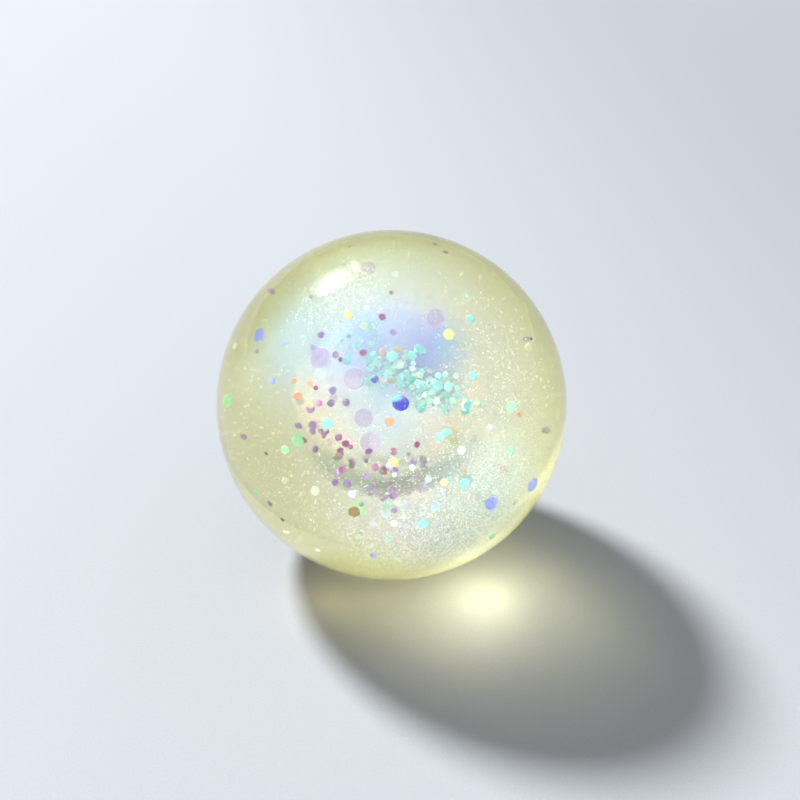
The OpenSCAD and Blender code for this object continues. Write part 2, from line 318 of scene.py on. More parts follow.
def skin_inner_material():
    """The inner wall, with the faint milkiness of soft rubber."""
    nodes = Nodes("skin_inner")
    glass = nodes.principled({
        "Base Color": (1, 1, 1, 1), "Roughness": 0.0, "IOR": WALL_IOR, "Transmission Weight": 1.0,
    })
    share = nodes.mottled(90, 4, 0.02, 0.10)
    film = nodes.milky((0.99, 0.96, 0.66, 1))
    return nodes.finish(nodes.mix_shader(share, nodes.lamps_cross(glass, outwards_only=False), film))


def joined_material(name, colour, share):
    """Where clear rubber is bonded to clear rubber: a faint film."""
    nodes = Nodes(name)
    stops = [(NOISE_LOW, (0.5 * share,) * 3), (NOISE_HIGH, (share,) * 3)]
    return nodes.finish_film(nodes.ramp(nodes.noise(700, 3), stops), (*colour, 1))


def underside_material():
    """Clear rubber's face to the air under the plug."""
    nodes = Nodes("plug_under")
    glass = nodes.principled({
        "Base Color": (0.93, 0.92, 0.72, 1), "Roughness": 0.08, "IOR": RUBBER_IOR,
        "Transmission Weight": 1.0,
        "Normal": nodes.bump(nodes.noise(1200, 2), 0.1, 0.1 * MM),
    })
    return nodes.finish(nodes.lamps_cross(glass, outwards_only=True))


PEARL = (0.9, 0.97, 0.97, 1)


def gel_material():
    """Clear gel, with a breath of pearl on its face."""
    nodes = Nodes("gel_face")
    return nodes.finish_film(nodes.span(nodes.noise(60, 4), 0.35, 0.75, 0.0, 0.06), PEARL)


# Pale patches of the haze: direction, spread, opacity in one shell, colour. The first two gather on the
# upper left, where they stand in for light that the lamp scatters in the gel: painted light
HAZE = [
    (seen(-0.50, 0.52, 0.69), 0.34, 0.20, (0.46, 0.68, 1.0, 1)),
    (seen(-0.45, 0.50, 0.74), 0.14, 0.15, (0.50, 0.76, 1.0, 1)),
    (seen(0.02, 0.84, 0.53), 0.22, 0.14, (0.66, 0.82, 0.90, 1)),
    (seen(0.22, -0.78, 0.58), 0.26, 0.21, (0.80, 0.73, 1.0, 1)),
    (seen(0.60, -0.60, 0.52), 0.20, 0.46, (0.80, 0.95, 1.0, 1)),
]
# The shells that the haze hangs in, as shares of its radius, and the most that one of them covers
HAZE_SHELLS = (1.0, 0.97, 0.94)
HAZE_MOST = 0.235
HAZE_PASSED = 0.35


def haze_material():
    nodes = Nodes("haze")
    share, colour = 0.0, PEARL
    cloudy = nodes.noise(70, 2)
    for direction, width, opacity, shade in HAZE:
        patch = nodes.toward(CENTRE, direction, width)
        share = nodes.math("ADD", share, nodes.times(patch, cloudy, opacity))
        colour = nodes.mix_colour(patch, colour, shade)
    return nodes.finish_film(nodes.math("MINIMUM", share, HAZE_MOST), colour, HAZE_PASSED)


VEIL_PASSED = 0.3
VEIL_STOPS = (0.3, 0.45, 0.55, 0.7)
# From the cloud's edge inwards, the cosine over which a veil fades in
VEIL_FADE = (0.0, 0.4)


def veil_material(name, colours, thin, thick, direction, width):
    """Pearl dust that hangs in the gel as a milky veil, all round or in one direction from its middle."""
    nodes = Nodes(name)
    colour = nodes.ramp(nodes.noise(80, 3), list(zip(VEIL_STOPS, colours)))
    share = nodes.mottled(130, 5, thin, thick)
    if direction is not None:
        fade = nodes.span(nodes.cosine(CLOUD_CENTRE, VIEW_BACK), *VEIL_FADE, 0.0, 1.0)
        share = nodes.times(share, nodes.toward(CLOUD_CENTRE, direction, width), fade)
    return nodes.finish_film(share, colour, VEIL_PASSED)


# Painted shade under the cloud: its dark colours, the direction it lies in and its spread
SHADE_BAND_STOPS = [(NOISE_LOW, (0.26, 0.34, 0.29)), (NOISE_HIGH, (0.38, 0.46, 0.40))]
SHADE_BAND_TO = seen(0.1, -1.0, 0.2)
SHADE_BAND_SPREAD = 0.55
# The cosines between which the band fades in, and then out again
SHADE_BAND_IN = (-0.1, 0.2)
SHADE_BAND_OUT = (0.27, 0.57)


def painted_shade_material(name, thick):
    """Painted shade: the dim band under the cloud, soft along both of its edges."""
    nodes = Nodes(name)
    near = nodes.cosine(CLOUD_CENTRE, VIEW_BACK)
    share = nodes.times(
        nodes.span(near, *SHADE_BAND_IN, 0.0, 1.0),
        nodes.span(near, *SHADE_BAND_OUT, 1.0, 0.0),
        nodes.toward(CLOUD_CENTRE, SHADE_BAND_TO, SHADE_BAND_SPREAD),
        nodes.mottled(130, 4, 0.6 * thick, thick),
    )
    return nodes.finish_film(share, nodes.ramp(nodes.noise(80, 3), SHADE_BAND_STOPS), VEIL_PASSED)


FILM_IOR = 1.5
FILM_PASSED = 0.3


def flake_material(name, main, shift, metallic, roughness, opacity=1.0):
    """Iridescent film: a second hue runs across each flake, each has its own shade, and its edge is pale."""
    nodes = Nodes(name)
    spot = nodes.flake_spot()
    along = nodes.add("ShaderNodeSeparateXYZ", {0: spot}).outputs[0]
    out = nodes.vector("LENGTH", spot)["Value"]
    place = nodes.math("ADD", nodes.times(along, 0.35), nodes.own_shade())
    pale = tuple(min(1, c * 1.15 + 0.12) for c in main)
    colour = nodes.ramp(place, [(0.0, shift), (0.35, main), (0.8, main), (1.0, pale)])
    colour = nodes.mix_colour(nodes.span(out, 0.8, 1.0, 0.0, 0.5), colour, (*pale, 1))
    film = nodes.principled({
        "Base Color": colour, "Metallic": metallic, "Roughness": roughness, "IOR": FILM_IOR,
    })
    film = nodes.mix_shader(FILM_PASSED, film, nodes.passing(colour))
    if opacity < 1:
        film = nodes.mix_shader(opacity, nodes.clear(), film)
    return nodes.finish(film)


BEAD_BLUE = (0.010, 0.016, 0.58, 1)
# Colours of the painted sheen along the bead's upper edge
PAINTED_SHEEN_CYAN = (0.20, 0.80, 1.0, 1)
PAINTED_SHEEN_VIOLET = (0.36, 0.10, 0.72, 1)


def bead_material(name):
    """Deep blue film, with a painted sheen of cyan and violet along its upper edge."""
    nodes = Nodes(name)
    spot = nodes.add("ShaderNodeSeparateXYZ", {0: nodes.flake_spot()}).outputs
    painted_sheen = nodes.mix_colour(nodes.span(spot[0], -0.25, 0.4, 0.0, 1.0), PAINTED_SHEEN_CYAN, PAINTED_SHEEN_VIOLET)
    height = nodes.math("SUBTRACT", spot[1], nodes.times(spot[0], 0.25))
    colour = nodes.mix_colour(nodes.span(height, 0.05, 0.75, 0.0, 1.0), BEAD_BLUE, painted_sheen)
    return nodes.finish(nodes.principled({"Base Color": colour, "Roughness": 0.2, "IOR": FILM_IOR}))


GOLD_SPECKS = [
    (0.0, (0.45, 0.40, 0.25)),
    (0.1, (0.70, 0.66, 0.42)),
    (0.25, (1.0, 0.98, 0.85)),
    (0.6, (1.0, 1.0, 1.0)),
    (0.85, (0.80, 0.98, 1.0)),
    (1.0, (1.0, 0.90, 1.0)),
]
SILVER_SPECKS = [
    (0.0, (0.42, 0.50, 0.58)),
    (0.15, (0.74, 0.80, 1.0)),
    (0.5, (0.90, 0.92, 1.0)),
    (0.8, (1.0, 1.0, 1.0)),
    (1.0, (0.90, 0.82, 1.0)),
]


def dust_material(name, specks):
    """Specks, each with its own shade."""
    nodes = Nodes(name)
    colour = nodes.ramp(nodes.own_shade(), specks)
    return nodes.finish(nodes.principled({"Base Color": colour, "Metallic": 0.2, "Roughness": 0.2}))


# Turned pieces
SKIN_STEPS = 192
GEL_STEPS = 128
PLUG_STEPS = 96
DOME_POINTS = 130
EDGE_POINTS = 24


def arc(radius, start, end, count):
    """Points (radius from the axis, height) on an arc about the ball's centre, between two height angles."""
    angles = np.linspace(start, end, count)
    return [(radius * math.cos(a), CENTRE.z + radius * math.sin(a)) for a in angles]


def between(upper, lower, i, j):
    """The corners of a face between two rings, from step i to step j. A ring of one point closes an end."""
    corners = [upper[i % len(upper)], lower[i % len(lower)], lower[j % len(lower)], upper[j % len(upper)]]
    return list(dict.fromkeys(corners))


def lathe(name, outline, slots, steps):
    """A closed piece turned about Z. The outline runs from one point on the axis to another, and slots gives
    each stretch's material slot."""
    mesh = bpy.data.meshes.new(name)
    made = bmesh.new()
    turns = [2 * math.pi * i / steps for i in range(steps)]
    ends = (0, len(outline) - 1)
    rings = []
    for i, (radius, height) in enumerate(outline):
        if i in ends:
            points = [(0, 0, height)]
        else:
            points = [(radius * math.cos(t), radius * math.sin(t), height) for t in turns]
        rings.append([made.verts.new(point) for point in points])
    for upper, lower, slot in zip(rings, rings[1:], slots):
        for i in range(steps):
            face = made.faces.new(between(upper, lower, i, (i + 1) % steps))
            face.material_index = slot
            face.smooth = True
    bmesh.ops.recalc_face_normals(made, faces=made.faces)
    made.to_mesh(mesh)
    made.free()
    return link(bpy.data.objects.new(name, mesh))


def bowl(radius, flat_z, rounding):
    """The outline of a ball with a flat foot, from its top to the foot, with the foot's edge rounded off."""
    across = math.sqrt((radius - rounding) ** 2 - (CENTRE.z - flat_z - rounding) ** 2)
    middle_z = flat_z + rounding
    turn = -math.atan2(CENTRE.z - middle_z, across)
    angles = np.linspace(turn, -math.pi / 2, EDGE_POINTS)[1:]
    edge = [(across + rounding * math.cos(a), middle_z + rounding * math.sin(a)) for a in angles]
    return arc(radius, math.pi / 2, turn, DOME_POINTS) + edge


SEAM_COLOUR = (0.97, 0.96, 0.85)


def make_skin():
    outer = bowl(BALL_R, 0, FOOT_ROUND)
    under = [
        (RECESS_R, 0), (RECESS_R, RECESS_TOP), (HOLE_R, RECESS_TOP), (HOLE_R, NECK_TOP), (NECK_R, NECK_TOP),
    ]
    inner = [(NECK_R, FLOOR_IN)] + bowl(CAVITY_R, FLOOR_IN, CAVITY_ROUND)[::-1]
    slots = [0] * len(outer) + [2] * len(under) + [1] * (len(inner) - 1)
    skin = lathe("skin", outer + under + inner, slots, SKIN_STEPS)
    skin.data.materials.append(skin_outer_material())
    skin.data.materials.append(skin_inner_material())
    skin.data.materials.append(joined_material("skin_seam", SEAM_COLOUR, 0.04))
    return skin


def make_gel():
    low = gel_low.z
    neck_r, neck_z = NECK_R + GEL_GAP, NECK_TOP + GEL_GAP
    bulb_r, bulb_z = BULB_R + GEL_GAP, plug_high.z + GEL_GAP
    outline = bowl(GEL_R, low, CAVITY_ROUND)
    outline += [(neck_r, low), (neck_r, neck_z), (bulb_r, neck_z), (bulb_r, bulb_z), (0, bulb_z)]
    gel = lathe("gel", outline, [0] * (len(outline) - 1), GEL_STEPS)
    gel.data.materials.append(gel_material())
    return gel


def make_plug():
    """A head, a shaft and a bulb that tapers to its top, with broken edges."""
    tip_inset, edge, head_edge = 0.5 * MM, 0.2 * MM, 0.25 * MM
    top, low = plug_high.z, plug_low.z
    shaft_r = HOLE_R - PLUG_FREE
    head_top = RECESS_TOP - PLUG_FREE
    neck_z = NECK_TOP + PLUG_FREE
    outline = [
        (0, top), (shaft_r - tip_inset, top), (shaft_r, top - edge),
        (BULB_R, neck_z + edge), (BULB_R - edge, neck_z),
        (shaft_r, neck_z), (shaft_r, head_top), (HEAD_R - head_edge, head_top),
        (HEAD_R, head_top - head_edge), (HEAD_R, low + edge), (HEAD_R - edge, low), (0, low),
    ]
    slots = [0] * (len(outline) - 2) + [1]
    plug = lathe("plug", outline, slots, PLUG_STEPS)
    plug.data.materials.append(joined_material("plug_side", SEAM_COLOUR, 0.05))
    plug.data.materials.append(underside_material())
    return plug


# The cloud of pearl dust in the middle, and the haze around it
WHITE = [(0.70, 0.86, 1.0), (0.84, 0.93, 1.0), (0.92, 0.90, 1.0), (0.96, 0.96, 1.0)]
LILAC = [(0.27, 0.48, 1.0), (0.36, 0.66, 1.0), (0.52, 0.50, 1.0), (0.58, 0.82, 1.0)]
PINK = [(1.0, 0.90, 0.94), (1.0, 0.94, 0.92), (0.98, 0.86, 0.96), (1.0, 0.97, 0.95)]
PEACH = [(1.0, 0.93, 0.76), (1.0, 0.96, 0.84), (1.0, 0.90, 0.78), (1.0, 0.97, 0.90)]
# Each veil: share of the cloud's radius, colours, least and most opacity of one layer, direction it lies in
# (or all round), spread, layers, step from one layer to the next
VEILS = [
    (1.06, LILAC, 0.03, 0.18, seen(0.15, 0.90, 0.40), 0.90, 1, 0),
    (1.02, PEACH, 0.18, 0.235, seen(0.90, -0.25, 0.36), 0.50, 3, 0.015),
    (1.05, PEACH, 0.17, 0.235, seen(-0.90, -0.34, 0.30), 0.28, 3, 0.015),
    (1.00, LILAC, 0.06, 0.23, seen(0.15, 0.90, 0.40), 0.85, 1, 0),
    (0.92, WHITE, 0.14, 0.235, seen(-0.3, -0.6, 0.75), 0.8, 3, 0.012),
    (0.95, LILAC, 0.10, 0.23, seen(0.15, 0.90, 0.40), 0.80, 1, 0),
    (0.89, PINK, 0.10, 0.235, seen(-0.40, -0.50, 0.75), 0.60, 3, 0.012),
    (0.86, LILAC, 0.15, 0.235, seen(0.25, 0.45, 0.80), 0.80, 4, 0.012),
    (0.82, WHITE, 0.12, 0.23, None, 0, 3, 0.06),
    (0.64, LILAC, 0.17, 0.235, None, 0, 4, 0.06),
]
# Each shell of the dim band of painted shade under the cloud: share of the cloud's radius, most opacity
SHADE_BAND_SHELLS = [(1.20, 0.75), (1.14, 0.7), (1.08, 0.55)]
# Waves of the shells: depth as a share of the radius, and phase, which shifts from one veil to the next and
# from one shell of the dim band to the next
VEIL_WAVE, VEIL_SHIFT = 0.035, 1.3
SHADE_BAND_WAVE, SHADE_BAND_SHIFT = 0.02, 0.9
HAZE_WAVE, HAZE_PHASE = 0.015, 0.4
SHELL_SPLITS = 5


def wavy_shell(made, middle, radius, depth, phase, slot):
    """Adds a closed shell with gentle waves."""
    grown = bmesh.ops.create_icosphere(made, subdivisions=SHELL_SPLITS, radius=radius)["verts"]
    for v in grown:
        d = v.co.normalized()
        wave = math.sin(5 * d.x + phase) * math.sin(4 * d.y + 2 * phase)
        wave += 0.5 * math.sin(9 * d.z + 7 * d.x + phase)
        v.co = v.co * (1 + depth * wave) + middle
    for face in {f for v in grown for f in v.link_faces}:
        face.material_index = slot
        face.smooth = True


def shell_piece(name, made, materials):
    mesh = bpy.data.meshes.new(name)
    made.to_mesh(mesh)
    made.free()
    for material in materials:
        mesh.materials.append(material)
    return link(bpy.data.objects.new(name, mesh))


def make_cloud():
    """The veils and the dim band of painted shade, as thin layers one within the other."""
    made = bmesh.new()
    materials = []
    for i, (share, colours, thin, thick, direction, width, layers, step) in enumerate(VEILS):
        for layer in range(layers):
            radius = (share - layer * step) * CLOUD_R
            wavy_shell(made, CLOUD_CENTRE, radius, VEIL_WAVE, VEIL_SHIFT * i, i)
        materials.append(veil_material(f"pearl_veil_{i}", colours, thin, thick, direction, width))
    for i, (share, thick) in enumerate(SHADE_BAND_SHELLS):
        wavy_shell(made, CLOUD_CENTRE, share * CLOUD_R, SHADE_BAND_WAVE, SHADE_BAND_SHIFT * i, len(materials))
        materials.append(painted_shade_material(f"painted_shade_{i}", thick))
    return shell_piece("pearl_veils", made, materials)


def make_haze():
    """The shells of haze, flat where they reach the haze's foot."""
    made = bmesh.new()
    for share in HAZE_SHELLS:
        wavy_shell(made, CENTRE, share * HAZE_R, HAZE_WAVE, HAZE_PHASE, 0)
    for v in made.verts:
        v.co.z = max(v.co.z, haze_low.z)
    return shell_piece("haze", made, [haze_material()])


# Flakes
SAME_POINT = 0.002 * MM


def islands(node):
    """Each separate solid of a CAD node as an array of its corner points."""
    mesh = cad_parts[node].data
    points = np.array([v.co for v in mesh.vertices], float)
    keys = [tuple(k) for k in np.round(points / SAME_POINT).astype(int)]
    parent = {k: k for k in keys}

    def root(k):
        while parent[k] != k:
            parent[k] = parent[parent[k]]
            k = parent[k]
        return k

    for face in mesh.polygons:
        first = root(keys[face.vertices[0]])
        for v in face.vertices[1:]:
            parent[root(keys[v])] = first
    groups = {}
    for k, p in zip(keys, points):
        groups.setdefault(root(k), {})[k] = p
    return [np.array([group[k] for k in sorted(group)]) for _, group in sorted(groups.items())]


def flake_of(points):
    """The middle, the two directions in the plane, the normal and the radius of a thin solid."""
    middle = points.mean(0)
    offsets = points - middle
    normal = np.linalg.eigh(offsets.T @ offsets)[1][:, 0]
    flat = offsets - np.outer(offsets @ normal, normal)
    lengths = np.linalg.norm(flat, axis=1)
    along = flat[lengths.argmax()] / lengths.max()
    return middle, along, np.cross(normal, along), normal, lengths.max()


def upright(flake):
    """The same round flake, with its directions across and up as the photograph sees them, along which the
    bead's painted sheen lies.
    """
    middle, _, _, normal, radius = flake
    normal = normal * np.sign(normal @ np.array(VIEW_BACK))
    along = np.array((1.0, 0, 0)) - normal[0] * normal
    along /= np.linalg.norm(along)
    return middle, along, np.cross(normal, along), normal, radius


# Where a film's bevelled edge starts, as a share of its radius
BEVEL = 0.84
# The square of the spot's x at which a curled film crosses its own plane
CURL_LEVEL = 0.35


class Film:
    """The mesh of many flakes of one kind."""

    def __init__(self):
        self.verts, self.faces, self.spots = [], [], []

    def add(self, flake, sides, thick, curl):
        """A thin film with a bevelled edge and a slight curl."""
        middle, along, across, normal, radius = flake
        half = thick / 2
        rings = []
        for share, rise in [(0.0, half), (BEVEL, half), (1.0, 0.0), (BEVEL, -half), (0.0, -half)]:
            count = sides if share else 1
            rings.append(range(len(self.verts), len(self.verts) + count))
            for i in range(count):
                turn = 2 * math.pi * i / sides
                x, y = share * math.cos(turn), share * math.sin(turn)
                bend = curl * radius * (x * x - CURL_LEVEL)
                self.verts.append(middle + radius * (x * along + y * across) + (rise + bend) * normal)
                self.spots.append((x, y, 0))
        for upper, lower in zip(rings, rings[1:]):
            for i in range(sides):
                self.faces.append(between(upper, lower, i, (i + 1) % sides))

    def piece(self, name, material):
        mesh = bpy.data.meshes.new(name)
        mesh.from_pydata([tuple(v) for v in self.verts], [], self.faces)
        mesh.update()
        attribute = mesh.attributes.new("flake_spot", "FLOAT_VECTOR", "POINT")
        attribute.data.foreach_set("vector", np.array(self.spots, np.float32).ravel())
        mesh.materials.append(material)
        return link(bpy.data.objects.new(name, mesh))


HEX, ROUND = 6, 32
# Each kind: node, slot, sides, main colour, shifted colour, metallic, roughness, opacity. The cobalt dots
# have a material of their own.
FLAKES = [
    ("aqua_hex_flakes", "aqua_glitter", HEX, (0.40, 0.92, 1.0), (0.62, 0.98, 0.97), 0.2, 0.25, 1.0),
    ("mint_hex_flakes", "mint_glitter", HEX, (0.42, 0.96, 0.62), (0.60, 1.0, 0.80), 0.2, 0.25, 0.9),
    ("gold_hex_flakes", "gold_glitter", HEX, (0.97, 0.96, 0.45), (0.72, 0.98, 0.60), 0.2, 0.25, 1.0),
    ("coral_hex_flakes", "coral_glitter", HEX, (1.0, 0.58, 0.42), (1.0, 0.78, 0.66), 0.2, 0.3, 0.95),
    ("pearl_hex_flakes", "pearl_glitter", HEX, (0.95, 0.98, 1.0), (0.70, 0.95, 1.0), 0.1, 0.25, 0.9),
    ("lilac_film_discs", "lilac_glitter", ROUND, (0.50, 0.38, 0.74), (0.72, 0.44, 0.66), 0.0, 0.3, 0.36),
    ("violet_dot_flakes", "violet_glitter", ROUND, (0.40, 0.23, 0.60), (0.52, 0.34, 0.78), 0.2, 0.3, 0.9),
    ("magenta_dot_flakes", "magenta_glitter", ROUND, (0.46, 0.13, 0.38), (0.58, 0.24, 0.58), 0.2, 0.3, 0.9),
    ("periwinkle_dot_flakes", "periwinkle_glitter", ROUND,
     (0.24, 0.30, 1.0), (0.36, 0.48, 1.0), 0.0, 0.3, 0.95),
    ("cobalt_dot_flakes", "cobalt_glitter", ROUND),
    ("slate_dot_flakes", "slate_glitter", ROUND, (0.26, 0.25, 0.42), (0.30, 0.32, 0.58), 0.2, 0.35, 0.85),
    ("bronze_chip_flakes", "bronze_glitter", HEX, (0.24, 0.15, 0.05), (0.36, 0.26, 0.10), 0.3, 0.35, 1.0),
]
FILM_THICK = 0.14 * MM
MOST_CURL = 0.06


def make_flakes():
    """One piece for each kind, with a film on each CAD flake's own place and plane."""
    rng = np.random.default_rng(11)
    pieces = []
    for node, slot, sides, *look in FLAKES:
        film = Film()
        for points in islands(node):
            flake = flake_of(points)
            if sides == ROUND:
                flake = upright(flake)
            film.add(flake, sides, FILM_THICK, rng.uniform(-MOST_CURL, MOST_CURL))
        material = flake_material(slot, *look) if look else bead_material(slot)
        piece = film.piece(node.replace("_flakes", "").replace("_discs", ""), material)
        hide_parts(node)
        pieces.append(piece)
    return pieces


# Fine glitter that has no solids
SPECK_THICK = 0.06 * MM
SPECK_CURL = 0.04
BAND_HEXES = 220
# How the band's hexes scatter along it, across it and in depth, in millimetres
BAND_SCATTER = np.array([5.0, 1.5, 1.8])
# How far the band's hexes keep from the middle of the largest cobalt dot, in its radii
DOT_CLEAR = 1.6
PEARL_HEXES = 110


def spread(rng):
    """A random direction."""
    way = rng.normal(size=3)
    return way / np.linalg.norm(way)


def tilted(rng, facing, loose):
    """The two directions in the plane, and the normal, of a flake that roughly faces one way."""
    normal = loose * spread(rng) + facing
    normal /= np.linalg.norm(normal)
    edge = np.cross(normal, spread(rng))
    edge /= np.linalg.norm(edge)
    return edge, np.cross(normal, edge), normal


def make_sparkle():
    """Small hexes crowded along the slanting aqua band, clear of the largest cobalt dot."""
    rng = np.random.default_rng(3)
    film = Film()
    middle = np.array(CENTRE + seen(2.0, 4.3, 13.0) * MM)
    band = np.array(seen(0.86, -0.50, 0.0))
    side = np.array(seen(0.50, 0.86, 0.0))
    near = np.array(seen(0, 0, 1))
    dots = [flake_of(points) for points in islands("cobalt_dot_flakes")]
    dot_middle, *_, dot_radius = max(dots, key=lambda dot: dot[-1])
    for _ in range(BAND_HEXES):
        along, across, depth = rng.normal(size=3) * BAND_SCATTER * MM
        plane = tilted(rng, near, 0.6)
        place = middle + along * band + across * side + depth * near
        beside = np.cross(place - dot_middle, near)
        if np.linalg.norm(beside) < DOT_CLEAR * dot_radius:
            continue
        film.add((place, *plane, rng.uniform(0.25, 0.6) * MM), HEX, SPECK_THICK, SPECK_CURL)
    material = flake_material("aqua_sparkle", (0.52, 0.94, 1.0), (0.88, 1.0, 0.88), 0.2, 0.2)
    return film.piece("aqua_sparkle", material)


def in_gel(points):
    """Which points lie within the gel, clear of its faces."""
    margin = 0.3 * MM
    across = np.hypot(points[:, 0], points[:, 1])
    over_floor = points[:, 2] > gel_low.z + margin
    off_plug = (across > NECK_R + GEL_GAP + margin) | (points[:, 2] > plug_high.z + GEL_GAP + margin)
    return over_floor & off_plug


def make_pearl_sparkle():
    """Small pale hexes, gathered in the pearly gel at the lower front."""
    rng = np.random.default_rng(21)
    film = Film()
    toward = np.array(seen(0.28, -0.72, 0.62))
    for _ in range(PEARL_HEXES):
        way = toward + 0.24 * rng.normal(size=3)
        way /= np.linalg.norm(way)
        place = np.array(CENTRE) + rng.uniform(0.82, 0.95) * GEL_R * way
        plane = tilted(rng, way, 0.5)
        radius = rng.uniform(0.25, 0.75) * MM
        if in_gel(place[None])[0]:
            film.add((place, *plane, radius), HEX, SPECK_THICK, SPECK_CURL)
    material = flake_material("pearl_sparkle", (0.74, 0.88, 1.0), (0.86, 0.80, 1.0), 0.0, 0.2, 0.55)
    return film.piece("pearl_sparkle", material)


# Dust: how many grains, direction they gather in (or all round), looseness, nearest and farthest reach as
# shares of the gel's radius
DUST = [
    (2400, None, 0, 0.55, 0.975),
    (2000, seen(0.75, -0.05, 0.66), 0.35, 0.80, 0.98),
    (1300, seen(0.15, -0.76, 0.62), 0.28, 0.80, 0.98),
    (900, seen(-0.31, 0.66, 0.68), 0.16, 0.94, 0.985),
    (700, seen(-0.55, -0.45, 0.70), 0.35, 0.80, 0.98),
]
SILVER_DUST = [
    (3600, seen(0.22, -0.83, 0.51), 0.24, 0.82, 0.985),
    (2200, seen(0.58, -0.60, 0.55), 0.24, 0.82, 0.985),
]
# A grain's least and most half lengths in millimetres, on its two wide axes and its thin one
GRAIN_WIDE, GRAIN_THIN = (0.08, 0.17), (0.04, 0.09)
# A grain's faces, with corners 0 to 2 on its axes and 3 to 5 opposite them
GRAIN_CORNERS = 6
GRAIN_FACES = np.array([
    (0, 1, 2), (1, 3, 2), (3, 4, 2), (4, 0, 2), (1, 0, 5), (3, 1, 5), (4, 3, 5), (0, 4, 5),
])


def dust_places(rng, groups):
    """The middles of the grains that lie within the gel."""
    middles = []
    for count, direction, loose, least, most in groups:
        ways = rng.normal(size=(count, 3))
        if direction is not None:
            ways = np.array(direction.normalized()) + loose * ways
        ways /= np.linalg.norm(ways, axis=1, keepdims=True)
        reach = GEL_R * rng.uniform(least ** 3, most ** 3, size=(count, 1)) ** (1 / 3)
        middles.append(np.array(CENTRE) + reach * ways)
    middles = np.concatenate(middles)
    return middles[in_gel(middles)]


def make_dust(name, groups, specks, seed):
    """Grains with eight faces, each turned its own way."""
    rng = np.random.default_rng(seed)
    middles = dust_places(rng, groups)
    count = len(middles)
    turns = np.linalg.qr(rng.normal(size=(count, 3, 3)))[0]
    axes = (GRAIN_WIDE, GRAIN_WIDE, GRAIN_THIN)
    sizes = np.stack([rng.uniform(*bounds, count) for bounds in axes], 1) * MM
    arms = turns * sizes[:, None, :]
    corners = np.concatenate([arms, -arms], 2).transpose(0, 2, 1) + middles[:, None, :]
    faces = (np.arange(count)[:, None, None] * GRAIN_CORNERS + GRAIN_FACES[None]).reshape(-1, 3)
    mesh = bpy.data.meshes.new(name)
    mesh.from_pydata(corners.reshape(-1, 3).tolist(), [], faces.tolist())
    mesh.update()
    mesh.materials.append(dust_material(name, specks))
    return link(bpy.data.objects.new(name, mesh))


# Stage
FLOOR_HALF = 3.0
FLOOR_DROP = 0.02 * MM
FLOOR_GRAIN = [(NOISE_LOW, (0.75, 0.785, 0.84)), (NOISE_HIGH, (0.80, 0.835, 0.89))]
# The colour of the painted shade that darkens the floor towards the back and the right
FLOOR_PAINTED_SHADE = (0.18, 0.2, 0.24, 1)


def floor_material():
    """Pale paper with a fine grain, with painted shade that darkens it towards the back and the right."""
    nodes = Nodes("floor")
    grain = nodes.noise(2500, 2)
    place = nodes.add("ShaderNodeSeparateXYZ", {0: nodes.place()}).outputs
    away = nodes.math("ADD", nodes.times(place[0], 2.6), place[1])
    painted_falloff = nodes.span(away, 0.05, 0.55, 0.0, 0.3)
    paper = nodes.principled({
        "Base Color": nodes.mix_colour(painted_falloff, nodes.ramp(grain, FLOOR_GRAIN), FLOOR_PAINTED_SHADE),
        "Roughness": 0.6, "Specular IOR Level": 0.2, "Normal": nodes.bump(grain, 0.15, 0.2 * MM),
    })
    return nodes.finish(paper)


def make_floor():
    mesh = bpy.data.meshes.new("floor")
    low, high, z = -FLOOR_HALF, FLOOR_HALF, -FLOOR_DROP
    corners = [(low, low, z), (high, low, z), (high, high, z), (low, high, z)]
    mesh.from_pydata(corners, [], [(0, 1, 2, 3)])
    mesh.materials.append(floor_material())
    floor = link(bpy.data.objects.new("floor", mesh))
    return floor


# Light: directions from the ball to the lamp and its broad face, as the shadow and the highlight give them
LAMP_TO = Vector((-0.474, 0.546, 0.683))
SOFTBOX_TO = Vector((-0.408, 0.631, 0.661))
# Directions from the ball to the lamps that light only some pieces
INNER_TO = Vector((-0.3, -0.6, 0.75))
LOW_TO = Vector((0.35, -0.93, 0.1))
FRONT_TO = seen(-0.15, -0.3, 1.0)
LEFT_TO = seen(-0.9, -0.2, 0.40)
RIGHT_TO = seen(0.9, 0.1, 0.4)
LIGHT_DISTANCE = 4.0
LAMP_WIDE, LAMP_WATTS = 0.72, 163.0
INNER_WATTS = 65.0
BROAD = 2.5
# The lamp's broad face fades outwards: each ring's diameter and power
SOFTBOX_RINGS = [(0.45, 9.0), (0.62, 9.0), (0.80, 9.0), (1.05, 9.0), (1.5, 9.0)]
# Light that the ball gathers or scatters onto the floor: name, place, width and depth in millimetres, power,
# colour
GLOWS = [
    ("gathered_light", (17.6, -17.8, 8.5), 6, 6, 0.0008, (1.0, 0.95, 0.55)),
    ("spilt_light", (16.5, -25, 15), 10, 10, 0.0014, (1.0, 0.93, 0.64)),
    ("skin_glow", (-2, -18.5, 7), 28, 8, 0.0011, (1.0, 0.81, 0.30)),
]
# The world: colour and strength of the even fill, and of the surrounding
FILL = ((0.92, 0.96, 1.0, 1), 0.25)
SURROUNDING = ((0.9, 0.94, 1.0, 1), 0.9)


def lit_only(lamp, pieces):
    """A lamp that lights some pieces and no others."""
    group = bpy.data.collections.new(lamp.name)
    for piece in pieces:
        group.objects.link(piece)
    lamp.light_linking.receiver_collection = group


def make_lamp(name, direction, diameter, watts):
    data = bpy.data.lights.new(name, "AREA")
    data.shape = "DISK"
    data.size = diameter
    data.energy = watts
    lamp = link(bpy.data.objects.new(name, data))
    lamp.location = CENTRE + direction.normalized() * LIGHT_DISTANCE
    lamp.rotation_euler = (-direction).to_track_quat("-Z", "Y").to_euler()
    return lamp


def make_softbox():
    """The broad face of the lamp that the skin's highlight shows."""
    for diameter, watts in SOFTBOX_RINGS:
        softbox = make_lamp("softbox", SOFTBOX_TO, diameter, watts)
        softbox.visible_diffuse = False
        softbox.visible_transmission = False


